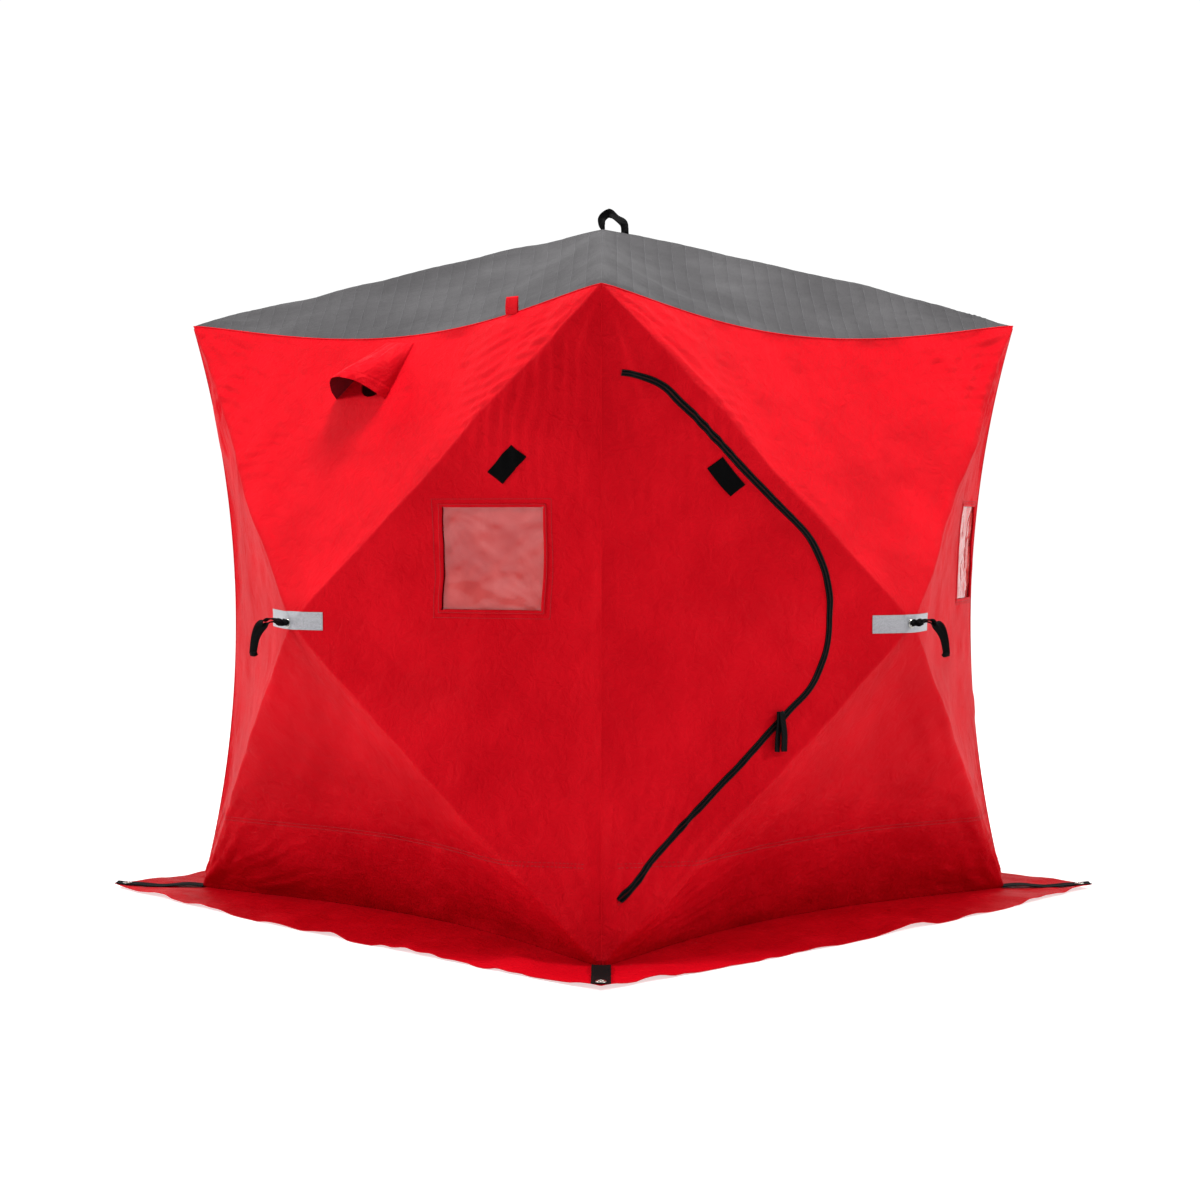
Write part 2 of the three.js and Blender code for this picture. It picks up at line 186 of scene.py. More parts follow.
# Woven nylon webbing: black with a dull grain, ribs across the strap.
def nylonWebbing():
    material, tree, coords = startMaterial("black_nylon_webbing", {
        "Roughness": 0.8, "IOR": 1.52, "Specular IOR Level": 0.07})
    fibres = texture(tree, "ShaderNodeTexNoise", coords, 6.0, {"Detail": 4.0})
    colour = colourRamp(tree, fibres.outputs["Fac"], ((0.0, "#020202"), (1.0, "#080708")))
    ribSpacing = 3.0
    ribs = texture(tree, "ShaderNodeTexWave", coords, ribSpacing * 6.283,
                   {"wave_type": "BANDS", "bands_direction": "DIAGONAL", "Distortion": 0.4})
    return finished(material, colour, bumped(tree, ribs.outputs["Fac"], 0.5, 0.8))


# Zip tape and hook-and-loop: black polyester pile, rougher than webbing and a touch bluer.
def blackPile():
    material, tree, coords = startMaterial("black_polyester_pile", {
        "Roughness": 0.85, "IOR": 1.5, "Specular IOR Level": 0.04})
    tufts = texture(tree, "ShaderNodeTexVoronoi", coords, 2.5).outputs["Distance"]
    colour = colourRamp(tree, tufts, ((0.0, "#040405"), (1.0, "#010101")))
    return finished(material, colour, bumped(tree, tufts, 0.6, 0.8))


# Flexible clear PVC film: glossy and wrinkled, with bright glints. Its red base colour is painted light: it
# stands in for the red-lit inside of the tent seen through the film.
def filmWithPaintedInnerGlow():
    material, tree, coords = startMaterial("clear_pvc_film_painted_inner_glow", {
        "Roughness": 0.10, "IOR": 1.5, "Specular IOR Level": 0.5, "Transmission Weight": 0.12,
        "Coat Weight": 0.15, "Coat Roughness": 0.05})
    filmNoise = texture(tree, "ShaderNodeTexNoise", coords, 110.0,
                   {"Detail": 7.0, "Distortion": 0.9}).outputs["Fac"]
    # painted light: the red-lit inside of the tent seen through the film, a little lighter or darker with the
    # noise
    colour = colourRamp(tree, filmNoise, ((0.32, "#a42b2b"), (0.52, "#b03836"), (0.80, "#bd4b49")))
    rough = addNode(tree, "ShaderNodeMapRange", {"To Min": 0.05, "To Max": 0.22}, {"Value": filmNoise})
    return finished(material, colour, bumped(tree, filmNoise, 0.2, 6.0), rough.outputs["Result"])


# Retroreflective tape: pale grey with a fine honeycomb of glass beads.
def reflectiveTape():
    material, tree, coords = startMaterial("grey_reflective_tape", {
        "Roughness": 0.38, "IOR": 1.5, "Metallic": 0.25})
    cells = texture(tree, "ShaderNodeTexVoronoi", coords, 3.5, {"feature": "DISTANCE_TO_EDGE"})
    colour = colourRamp(tree, cells.outputs["Distance"], ((0.0, "#76767b"), (0.25, "#a3a3a7")))
    return finished(material, colour)


# Plain solids with a grain: moulded nylon, pultruded fibreglass rod, nickel-plated brass, sewing thread.
def grainy(name, dark, light, grain, depth, settings):
    material, tree, coords = startMaterial(name, settings)
    speck = texture(tree, "ShaderNodeTexNoise", coords, grain, {"Detail": 5.0}).outputs["Fac"]
    colour = colourRamp(tree, speck, ((0.3, dark), (0.7, light)))
    return finished(material, colour, bumped(tree, speck, 0.3, depth))


redCloth = wovenPolyester("red_coated_polyester", "#a4000d", "#ac0210", "#b60514", 0.50)
redLining = wovenPolyester("dark_red_polyester_lining", "#4c070e", "#5a0a12", "#670e17", 0.7)
greyCloth = wovenPolyester("grey_quilted_polyester", "#353435", "#3b3a3b", "#434243", 0.62, quilted=True)
webbing = nylonWebbing()
pile = blackPile()
film = filmWithPaintedInnerGlow()
tape = reflectiveTape()
nylon = grainy("moulded_black_nylon", "#040405", "#0a0a0b", 1.5, 0.3,
               {"Roughness": 0.6, "IOR": 1.53, "Specular IOR Level": 0.15})
fibreglass = grainy("pultruded_fibreglass_rod", "#1b1d22", "#2b2e35", 4.0, 0.2,
                    {"Roughness": 0.35, "IOR": 1.55})
nickel = grainy("nickel_plated_brass", "#8e8c86", "#b9b7b0", 3.0, 0.05, {"Roughness": 0.28, "Metallic": 1.0})
redThread = grainy("dark_red_thread", "#6b0712", "#8c101c", 1.2, 0.2, {"Roughness": 0.7, "IOR": 1.5})
blackThread = grainy("black_thread", "#08080a", "#18181b", 1.2, 0.2, {"Roughness": 0.7, "IOR": 1.5})
print("materials made")


# The stretched surface. Each wall is worked out facing -Y: across is X, height is Z, and out is -Y.
# The pieces of a wall are drawn there and turned to their side at the end.
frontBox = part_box("front_wall")
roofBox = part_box("roof")
tent = {
    "hubOut": -frontBox[0][1], "hubHeight": 0.863, "foot": frontBox[0][2],
    "topHalf": roofBox[1][0], "bottomHalf": 0.880,
    "peak": roofBox[1][2], "cornerHeight": 1.740,
    "cornerPull": 0.083, "bottomBow": 0.140, "topPull": 0.075, "topSag": 0.080, "sagFullness": 1.3,
    "hubRound": 0.060, "poleSlope": 0.982,
}
seam = {"height": 0.252, "sunk": 0.0022, "rows": (0.247, 0.257), "half": 0.80}


def bow(share):
    return 4 * share * (1 - share)


def edgePoint(across, up):
    half = tent["bottomHalf"] + (tent["topHalf"] - tent["bottomHalf"]) * up - tent["cornerPull"] * bow(up)
    fullness = np.clip(bow((across + 1) / 2), 0, 1) ** tent["sagFullness"]
    drawnIn = tent["bottomBow"] + (tent["topPull"] - tent["bottomBow"]) * up
    height = tent["foot"] + (tent["cornerHeight"] - tent["foot"]) * up - tent["topSag"] * up * fullness
    return across * half, half - drawnIn * fullness, height


def rimOf(count=300):
    run = np.linspace(-1, 1, count)
    full = np.ones(count)
    loops = [edgePoint(run, 0 * full), edgePoint(full, (run + 1) / 2), edgePoint(-run, full),
             edgePoint(-full, (1 - run) / 2)]
    return [np.concatenate([loop[i] for loop in loops]) for i in range(3)]


rimAcross, rimOut, rimHeight = rimOf()
rimAngle = np.arctan2(rimHeight - tent["hubHeight"], rimAcross)
rimReach = np.hypot(rimAcross, rimHeight - tent["hubHeight"])


def shareOut(across, height):
    # 0 at the hub, 1 at the rim
    angle = np.arctan2(height - tent["hubHeight"], across)
    reach = np.interp(angle, rimAngle, rimReach, period=2 * math.pi)
    return np.hypot(across, height - tent["hubHeight"]) / reach


def baseOut(across, height):
    angle = np.arctan2(height - tent["hubHeight"], across)
    edge = np.interp(angle, rimAngle, rimOut, period=2 * math.pi)
    share = shareOut(across, height)
    blunt = tent["hubRound"]                  # the cloth rounds over the hub instead of coming to a point
    share = (np.sqrt(share ** 2 + blunt ** 2) - blunt) / (math.sqrt(1 + blunt ** 2) - blunt)
    return tent["hubOut"] + (edge - tent["hubOut"]) * share


def softNoise(x, y, size, seed):
    # smooth random height from -1 to 1, with lumps of the given size
    table = np.random.RandomState(seed).rand(64, 64) * 2 - 1
    u, v = x / size + 31.7, y / size + 17.3
    i, j = np.floor(u).astype(int), np.floor(v).astype(int)
    s, t = u - i, v - j
    s, t = s * s * (3 - 2 * s), t * t * (3 - 2 * t)
    pick = lambda a, b: table[a % 64, b % 64]
    low = pick(i, j) * (1 - s) + pick(i + 1, j) * s
    high = pick(i, j + 1) * (1 - s) + pick(i + 1, j + 1) * s
    return low * (1 - t) + high * t


folds = {"cornerDepth": 0.0125, "cornerReach": 0.28, "poleDepth": 0.0100, "poleReach": 0.13,
         "lumpDepth": 0.012, "ripple": 0.0034}


def wave(phase):
    # rounded crests and a slightly narrower trough, from 0 to 1
    return (0.5 + 0.5 * np.sin(phase)) ** 1.4


def cornerFolds(across, height, corner, seed):
    # folds that run out of a corner like the ribs of a fan, each with a length and depth of its own
    dx, dz = across - corner[0], height - corner[1]
    away = np.hypot(dx, dz)
    angle = np.arctan2(dz, dx)
    bent = angle + 0.06 * softNoise(away, angle, 0.12, seed + 7)
    total = 0
    for rate, nearest, farthest in ((15, 0.02, 0.22), (31, 0.08, 0.36), (60, 0.18, 0.60), (96, 0.32, 0.80)):
        own = 0.5 + 0.5 * softNoise(angle, away * 0.25, 0.13, seed + rate)
        span = np.clip((away - nearest) / 0.06, 0, 1)
        span = span * np.clip((farthest * (0.35 + own) - away) / 0.16, 0, 1)
        phase = bent * rate + 3 * softNoise(angle, away * 0.2, 0.3, seed + rate + 1)
        total = total + wave(phase) * span * own
    return folds["cornerDepth"] * total * np.exp(-away / folds["cornerReach"])


def relief(across, height, seed):
    half = tent["topHalf"]
    rise = height - tent["hubHeight"]
    along = np.hypot(across, rise)
    beside = np.abs(rise) - tent["poleSlope"] * np.abs(across)
    share = shareOut(across, height)
    total = folds["lumpDepth"] * softNoise(across, height, 0.21, seed + 50)
    total = total + folds["ripple"] * softNoise(across, height, 0.06, seed + 60)
    for i, corner in enumerate(((-half, tent["cornerHeight"]), (half, tent["cornerHeight"]),
                                (-half, tent["foot"]), (half, tent["foot"]))):
        total = total + (1.0 if i < 2 else 1.25) * cornerFolds(across, height, corner, seed * 11 + i)
    # folds that leave each pole and run level with the nearest rim, and one long fold beside the pole
    aside = np.abs(beside) / 1.4
    own = np.clip(0.35 + 0.9 * softNoise(along, np.sign(across) + 3 * np.sign(rise), 0.11, seed + 45), 0, 1)
    own = own * np.where(rise > 0, 1, 0.25)
    phase = share * 150 + 4.0 * softNoise(along, aside, 0.13, seed + 40) + np.sign(across)
    leaving = wave(phase) * own * np.exp(-aside / folds["poleReach"]) * np.clip(aside / 0.02, 0, 1)
    total = total + folds["poleDepth"] * leaving * np.clip((along - 0.40) / 0.30, 0, 1)
    patchy = np.clip(0.4 + softNoise(along, beside * 0.6, 0.19, seed + 48), 0, 1)
    slack = wave(beside * 78 + 1.5 * softNoise(along, beside, 0.3, seed + 49)) * np.exp(-aside / 0.07)
    total = total + 0.8 * folds["poleDepth"] * slack * patchy * np.clip((along - 0.15) / 0.2, 0, 1) \
        * np.clip(aside / 0.02, 0, 1)
    # the seam that the panels are sewn along is a little sunk
    total = total - seam["sunk"] * np.exp(-((height - seam["height"]) / 0.006) ** 2)
    return total * edgeFade(across, height)


def edgeFade(across, height):
    # relief dies away at the rim and at the hub, where pieces are sewn to each other
    share = shareOut(across, height)
    return np.clip((1 - share) * 30, 0, 1) * np.clip(share * 6 - 0.5, 0, 1)


def wallPoint(across, height, seed, lift=0.0):
    # a point on the wall, lift metres off the cloth
    out = baseOut(across, height) + relief(across, height, seed)
    step = 0.004
    slopeA = (baseOut(across + step, height) - baseOut(across - step, height)) / (2 * step)
    slopeZ = (baseOut(across, height + step) - baseOut(across, height - step)) / (2 * step)
    length = np.sqrt(1 + slopeA ** 2 + slopeZ ** 2)
    return np.stack([across - slopeA / length * lift, -out - lift / length,
                     height - slopeZ / length * lift], -1)


def pointsOn(flat, seed, lift=0.0):
    return wallPoint(flat[:, 0], flat[:, 1], seed, lift)


def setPoints(verts, points):
    for vert, point in zip(verts, points):
        vert.co = point


def flatGrid(columns, rows):
    # a flat grid of faces from -1 to 1 each way, and where its vertices lie
    bm = bmesh.new()
    bmesh.ops.create_grid(bm, x_segments=columns, y_segments=rows, size=1.0)
    return bm, np.array([v.co for v in bm.verts])


def gridStep(flat, count):
    return np.rint((flat + 1) / 2 * count).astype(int)


def directions(line):
    ahead = np.gradient(line, axis=0)
    return ahead / np.linalg.norm(ahead, axis=1)[:, None]


def leftOf(ahead):
    return np.stack([-ahead[:, 1], ahead[:, 0]], -1)


def insideCorners(corners, s, t):
    # s goes from the first corner to the second, and t from those two to the other two
    a, b, c, d = [np.array(p) for p in corners]
    s, t = s[:, None], t[:, None]
    return (a * (1 - s) + b * s) * (1 - t) + (d * (1 - s) + c * s) * t


def roundEdges(bm, edges, offset, segments):
    bmesh.ops.bevel(bm, geom=edges, offset=offset, offset_type="OFFSET", affect="EDGES", segments=segments,
                    profile=0.5, material=-1)


def turnTo(side):
    return Matrix.Rotation(quarterTurn * sides[side], 4, "Z")


def makePiece(name, bm, materials, body="shelter", replaces=(), thickness=0.0, smooth=True,
              side=None):
    mesh = bpy.data.meshes.new(name)
    if side is not None:
        bm.transform(turnTo(side))
    for edge in bm.edges:
        if edge.is_boundary:
            edge.smooth = False         # keeps the cut edge of the cloth crisp
    bm.to_mesh(mesh)
    bm.free()
    for item in materials if isinstance(materials, list) else [materials]:
        mesh.materials.append(item)
    if smooth:
        mesh.shade_smooth()
    piece = bpy.data.objects.new(name, mesh)
    scene.collection.objects.link(piece)
    if thickness:
        solid = piece.modifiers.new("thickness", "SOLIDIFY")
        solid.thickness = thickness
        solid.offset = -1
        if len(mesh.materials) > 1:
            solid.material_offset = 1
            solid.material_offset_rim = 0
    if body:
        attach(piece, body)
    if replaces:
        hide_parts(*replaces)
    return piece


# Openings and outlines on a wall, as points (across, height)
doorShape = {"noseAcross": -0.546, "noseHeight": 0.894, "noseRadius": 0.319, "upper": 47.0, "lower": -44.5,
             "shoulder": -0.700, "top": 1.521, "bottom": 0.160, "hingeStrip": 0.032}


def hingeAcross(height):
    up = height / tent["cornerHeight"]
    half = tent["bottomHalf"] + (tent["topHalf"] - tent["bottomHalf"]) * up - tent["cornerPull"] * bow(up)
    return -(half - doorShape["hingeStrip"])


def zipLine(grow=0.0):
    # from the foot of the zip, round the nose, to its top end
    radius = doorShape["noseRadius"] + grow
    upper, lower = math.radians(doorShape["upper"]), math.radians(doorShape["lower"])
    centre = np.array([doorShape["noseAcross"], doorShape["noseHeight"]])
    first = centre + radius * np.array([math.cos(lower), math.sin(lower)])
    bottom = doorShape["bottom"] - grow
    run = (first[0] - hingeAcross(bottom)) / -math.sin(lower)
    start = first + run * np.array([math.sin(lower), -math.cos(lower)])
    points = [start + (first - start) * t for t in np.linspace(0, 1, 60)[:-1]]
    points += [centre + radius * np.array([math.cos(a), math.sin(a)])
               for a in np.linspace(lower, upper, 50)]
    shoulder = points[-1]
    slide = (shoulder[0] - doorShape["shoulder"]) / math.sin(upper)
    corner = shoulder + slide * np.array([-math.sin(upper), math.cos(upper)])
    points += [shoulder + (corner - shoulder) * t for t in np.linspace(0, 1, 50)[1:]]
    top = doorShape["top"] + grow
    control = np.array([doorShape["shoulder"] - 0.046, top - 0.004])
    end = np.array([hingeAcross(top), top])
    points += [corner * (1 - t) ** 2 + control * 2 * t * (1 - t) + end * t * t
               for t in np.linspace(0, 1, 16)[1:]]
    return np.array(points)


def doorOutline():
    edge = zipLine()
    heights = np.linspace(edge[-1][1], edge[0][1], 400)[1:-1]
    return np.concatenate([edge, np.stack([hingeAcross(heights), heights], -1)])


windowShapes = {
    "side": {"across": 0.537, "height": 1.043, "width": 0.250, "tall": 0.274, "lean": 0.025},
    "front": {"across": 0.672, "height": 1.046, "width": 0.218, "tall": 0.280, "lean": 0.008},
}


def windowOf(side):
    return windowShapes["front" if side == "front" else "side"]


def denseLoop(corners, spacing=0.006):
    corners = [np.array(c, float) for c in corners]
    points = []
    for a, b in zip(corners, corners[1:] + corners[:1]):
        count = max(2, int(np.linalg.norm(b - a) / spacing))
        points += [a + (b - a) * t for t in np.linspace(0, 1, count, endpoint=False)]
    return np.array(points)


def windowCorners(spec, grow=0.0):
    wide, tall, lean = spec["width"] / 2 + grow, spec["tall"] / 2 + grow, spec["lean"] / 2
    middle, level = spec["across"], spec["height"]
    return [(middle - wide - lean, level - tall), (middle + wide - lean, level - tall),
            (middle + wide + lean, level + tall), (middle - wide + lean, level + tall)]


def insideLoop(points, loop):
    x, y = points[:, 0][:, None], points[:, 1][:, None]
    ax, ay = loop[:, 0][None], loop[:, 1][None]
    bx, by = np.roll(loop[:, 0], -1)[None], np.roll(loop[:, 1], -1)[None]
    crosses = (ay > y) != (by > y)
    with np.errstate(divide="ignore", invalid="ignore"):
        hit = x < (bx - ax) * (y - ay) / (by - ay) + ax
    return (np.sum(crosses & hit, axis=1) % 2) == 1


def squareSheet(cells):
    # a grid cut along the lines that the poles push out, with each vertex's share of the way to the rim
    # and the point of the rim that it lies toward
    bm = flatGrid(cells, cells)[0]
    for normal in ((1, 1, 0), (1, -1, 0)):
        bmesh.ops.bisect_plane(bm, geom=bm.verts[:] + bm.edges[:] + bm.faces[:], dist=1e-6,
                               plane_co=(0, 0, 0), plane_no=normal)
    flat = np.array([v.co for v in bm.verts])
    reach = np.maximum(np.abs(flat[:, 0]), np.abs(flat[:, 1]))
    safe = np.maximum(reach, 1e-9)
    return bm, reach, flat[:, 0] / safe, flat[:, 1] / safe


def wallGrid(seed):
    bm, reach, u, v = squareSheet(wallCells)
    edge = edgePoint(u, (v + 1) / 2)
    height = tent["hubHeight"] + reach * (edge[2] - tent["hubHeight"])
    setPoints(bm.verts, wallPoint(reach * edge[0], height, seed))
    return bm


def evenly(line, spacing):
    steps = np.linalg.norm(np.diff(line, axis=0), axis=1)
    run = np.concatenate([[0], np.cumsum(steps)])
    count = max(2, int(run[-1] / spacing) + 1)
    at = np.linspace(0, run[-1], count)
    return np.stack([np.interp(at, run, line[:, 0]), np.interp(at, run, line[:, 1])], -1)


def cutTo(bm, loop, keepInside, seed):
    # draws the vertices beside the loop onto it, then takes away the faces on one side
    loop = evenly(np.concatenate([loop, loop[:1]]), 0.0015)
    bm.faces.ensure_lookup_table()
    centres = np.array([f.calc_center_median() for f in bm.faces])[:, [0, 2]]
    inside = insideLoop(centres, loop[::4])
    edge = {}
    for face, flag in zip(bm.faces, inside):
        for vert in face.verts:
            edge.setdefault(vert, set()).add(bool(flag))
    raw = [vert for vert, flags in edge.items() if len(flags) == 2]
    flat = np.array([(v.co.x, v.co.z) for v in raw])
    near = np.concatenate([np.linalg.norm(part[:, None] - loop[None], axis=2).argmin(1)
                           for part in np.array_split(flat, 8)])
    setPoints(raw, pointsOn(loop[near], seed))
    gone = [f for f, flag in zip(bm.faces, inside) if flag != keepInside]
    bmesh.ops.delete(bm, geom=gone, context="FACES")


wallCells = 190
clothThickness = 0.005
seeds = {"front": 3, "right": 19, "back": 31, "left": 8}
doorLoop = doorOutline()
ventHole = {"across": -0.050, "height": 1.490, "lean": -27.0, "radius": 0.055, "rise": 0.062}


def ventLoop():
    lean = math.radians(ventHole["lean"])
    centre = np.array([ventHole["across"] - math.sin(lean) * ventHole["rise"],
                       ventHole["height"] + math.cos(lean) * ventHole["rise"]])
    turns = np.linspace(0, 2 * math.pi, 60, endpoint=False)
    return centre + ventHole["radius"] * np.stack([np.cos(turns), np.sin(turns)], -1)


def makeWall(side):
    bm = wallGrid(seeds[side])
    cutTo(bm, denseLoop(windowCorners(windowOf(side))), False, seeds[side])
    if side == "front":
        cutTo(bm, doorLoop, False, seeds[side])
    if side in ("left", "right"):
        cutTo(bm, ventLoop(), False, seeds[side])
    wall = makePiece(side + "_wall_cloth", bm, [redCloth, redLining],
                     replaces=[side + "_wall"], thickness=clothThickness, side=side)


for side in sides:
    makeWall(side)
print("walls made")


def foldAtHinge(piece):
    piece.parent = None
    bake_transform(piece)


def makeDoor():
    bm = wallGrid(seeds["front"])
    cutTo(bm, doorLoop, True, seeds["front"])
    door = makePiece("door_cloth", bm, [redCloth, redLining], body=None,
                     replaces=["door_flap"], thickness=clothThickness)
    foldAtHinge(door)


makeDoor()


# Ribbons laid on a wall along a line
def ribbonOnWall(line, offsets, lifts, seed, closed=False):
    # a strip whose cross-section is offsets to the left of the line, at lifts off the cloth
    line = np.asarray(line)
    ahead = np.roll(line, -1, 0) - np.roll(line, 1, 0)
    if not closed:
        ahead[0], ahead[-1] = line[1] - line[0], line[-1] - line[-2]
    ahead /= np.linalg.norm(ahead, axis=1)[:, None]
    last = len(line) - 1
    bm, grid = flatGrid(last, len(offsets) - 1)
    i, j = gridStep(grid[:, 0], last), gridStep(grid[:, 1], len(offsets) - 1)
    flat = line[i] + leftOf(ahead)[i] * np.asarray(offsets)[j][:, None]
    onCloth, metreOff = pointsOn(flat, seed), pointsOn(flat, seed, 1.0)
    setPoints(bm.verts, onCloth + (metreOff - onCloth) * np.asarray(lifts)[j][:, None])
    if closed:
        joinEnds(bm, i, last)
    bmesh.ops.recalc_face_normals(bm, faces=bm.faces)
    if sum(f.normal.y for f in bm.faces) > 0:
        bmesh.ops.reverse_faces(bm, faces=bm.faces)
    return bm


def joinEnds(bm, steps, last):
    ends = []
    for row in (0, last):
        group = {v for v, step in zip(bm.verts, steps) if step == row}
        ends += [e for e in bm.edges if e.verts[0] in group and e.verts[1] in group]
    bmesh.ops.bridge_loops(bm, edges=ends)


# The zip: two tapes that meet at a coil. One tape stays on the wall and the other goes with the door.
zipLook = {"halfWidth": 0.0078, "lift": 0.0024, "tooth": 0.0030, "toothPitch": 0.0030, "endMargin": 0.006}


def zipRun(grow=0.0):
    # the part of the zip's line that the tape covers
    line = evenly(zipLine(grow), 0.002)
    margin = zipLook["endMargin"]
    return line[[(x > hingeAcross(z) + margin) for x, z in line]]


def makeZip():
    line = evenly(zipRun(), 0.010)
    half, lift = zipLook["halfWidth"], zipLook["lift"]
    profile = [0.0005, half * 0.35, half * 0.8, half, half + 0.0008]
    heights = [lift * 1.1, lift, lift * 0.9, lift * 0.6, -0.001]
    # the line runs from the foot upward, so the door is on its left
    doorTape = ribbonOnWall(line, profile, heights, seeds["front"])
    wallTape = ribbonOnWall(line, [-v for v in profile], heights, seeds["front"])
    piece = makePiece("zip_tape_door", doorTape, pile, body=None, replaces=["door_zipper"])
    foldAtHinge(piece)
    makePiece("zip_tape_wall", wallTape, pile)
    for name, sideSign in (("zip_coil_door", 1), ("zip_coil_wall", -1)):
        bm = teethAlong(evenly(zipRun(), zipLook["toothPitch"]), sideSign)
        onDoor = sideSign > 0
        coil = makePiece(name, bm, nylon, body=None if onDoor else "shelter", smooth=False)
        if onDoor:
            foldAtHinge(coil)


def teethAlong(line, sideSign):
    ahead, tooth = directions(line), zipLook["tooth"]
    left = leftOf(ahead) * sideSign
    return barsOnWall(line + left * tooth * 0.5, ahead * 0.001, left * 0.001, seeds["front"],
                      zipLook["lift"] + 0.0006, (0.0016, tooth, 0.0016))


def barsOnWall(line, ahead, left, seed, lift, size):
    # small square-cut bars on the cloth: length, width and thickness, with the length pointing ahead
    spots, onward, aside = [pointsOn(flat, seed, lift) for flat in (line, line + ahead, line + left)]
    bm = bmesh.new()
    for spot, along, across in zip(spots, onward - spots, aside - spots):
        x = Vector(along).normalized()
        z = x.cross(Vector(across)).normalized()
        turn = Matrix((x, z.cross(x), z)).transposed().to_4x4()
        bmesh.ops.create_cube(bm, size=1.0, matrix=Matrix.Translation(Vector(spot)) @ turn
                              @ Matrix.Diagonal((*size, 1)))
    return bm


makeZip()
print("door and zip made")


# Roof: the same kind of sheet, laid flat as a square and pushed up in the middle
def roofRim(count=300):
    run = np.linspace(-1, 1, count)
    a, out, height = edgePoint(run, np.ones(count))
    x, y = [a, out, -a, -out], [-out, a, out, -a]
    return np.concatenate(x), np.concatenate(y), np.concatenate([height] * 4)


roofX, roofY, roofZ = roofRim()
roofAngle = np.arctan2(roofY, roofX)
roofReach = np.hypot(roofX, roofY)
roofCells = 160
roofFolds = {"corner": 0.009, "lump": 0.008, "quilt": 0.042, "quiltDepth": 0.0010}


def roofHeight(x, y):
    angle = np.arctan2(y, x)
    reach = np.interp(angle, roofAngle, roofReach, period=2 * math.pi)
    edge = np.interp(angle, roofAngle, roofZ, period=2 * math.pi)
    share = np.hypot(x, y) / reach
    base = tent["peak"] + (edge - tent["peak"]) * share
    ridge = np.exp(-(np.minimum(np.abs(x - y), np.abs(x + y)) / 0.10) ** 2)
    arch = 0.010 * bow(np.clip(share, 0, 1)) * ridge
    fade = np.clip((1 - share) * 20, 0, 1) * np.clip(share * 10, 0, 1)
    total = roofFolds["lump"] * softNoise(x, y, 0.17, 71) + 0.0012 * softNoise(x, y, 0.05, 72)
    half = tent["topHalf"]
    for i, corner in enumerate(((-half, -half), (half, -half), (half, half), (-half, half))):
        away = np.hypot(x - corner[0], y - corner[1])
        turn = np.arctan2(y - corner[1], x - corner[0]) + 0.1 * softNoise(x, y, 0.15, 80 + i)
        for k, rate in enumerate((17, 29)):
            ripple = (1 - np.abs(np.sin(rate * turn / 2 + i * 2.1 + k))) ** 2
            ripple = ripple * np.clip(away * rate / 1.3 - 0.5, 0, 1)
            total = total + roofFolds["corner"] * ripple * np.exp(-away / 0.32) * (0.9 - 0.3 * k)
    channel = np.abs(np.sin(math.pi * (x - y) / math.sqrt(2) / roofFolds["quilt"])) ** 0.5
    total = total + roofFolds["quiltDepth"] * (channel - 0.6)
    return base + arch + total * fade


def makeRoof():
    bm, reach, u, v = squareSheet(roofCells)
    onX = np.abs(u) >= np.abs(v)
    along, out, _ = edgePoint(np.where(onX, v, u), np.ones(len(u)))
    x = reach * np.where(onX, out * np.sign(u), along)
    y = reach * np.where(onX, along, out * np.sign(v))
    setPoints(bm.verts, np.stack([x, y, roofHeight(x, y)], -1))
    roof = makePiece("roof_cloth", bm, [greyCloth, greyCloth], replaces=["roof"],
                     thickness=clothThickness)


makeRoof()
print("roof made")


# Snow skirt: loose cloth that lies on the ground with a wavy hem
skirtShape = {"cornerHalf": 1.075, "outerBow": 0.035, "tuck": 0.014, "wave": 0.007, "height": 0.0034}


def skirtPoint(s, t, side):
    # s runs along the wall from -1 to 1, t from under the wall (0) to the hem (1)
    half = tent["bottomHalf"] - skirtShape["tuck"]
    fullness = np.clip(bow((s + 1) / 2), 0, 1)
    inner = half - tent["bottomBow"] * fullness ** tent["sagFullness"]
    outer = skirtShape["cornerHalf"] + skirtShape["outerBow"] * fullness
    out = inner + (outer - inner) * t
    x = s * (half + (skirtShape["cornerHalf"] - half) * t)
    seed = 100 + 10 * sides[side]
    swell = softNoise(x, out, 0.13, seed) + 0.5 * softNoise(x, out, 0.05, seed + 1)
    ripple = np.sin(x * 21 + 2 * softNoise(x, out, 0.3, seed + 2)) * 0.6
    calm = 1 - np.abs(s) ** 12
    lift = skirtShape["wave"] * np.clip(swell + ripple + 0.5, 0, 2) * np.clip((t - 0.12) / 0.5, 0, 1) * calm
    curl = 0.012 * np.clip(t - 0.75, 0, 1) * 4 * np.abs(s) ** 6
    return np.stack([x, -out + 0.006 * swell * t * calm, skirtShape["height"] + lift + curl], -1)


def makeSkirt(side):
    bm, flat = flatGrid(130, 24)
    setPoints(bm.verts, skirtPoint(flat[:, 0], (1 - flat[:, 1]) / 2, side))
    piece = makePiece(side + "_skirt_cloth", bm, redCloth, replaces=[side + "_skirt"],
                      thickness=0.0026, side=side)


for side in sides:
    makeSkirt(side)
print("skirts made")


# Windows: film behind the opening, and a bound frame sewn round it
windowLook = {"behind": 0.0060, "overlap": 0.010, "bindOut": 0.006, "stitchOut": 0.020,
              "frontStitchOut": 0.014, "slit": 0.013}


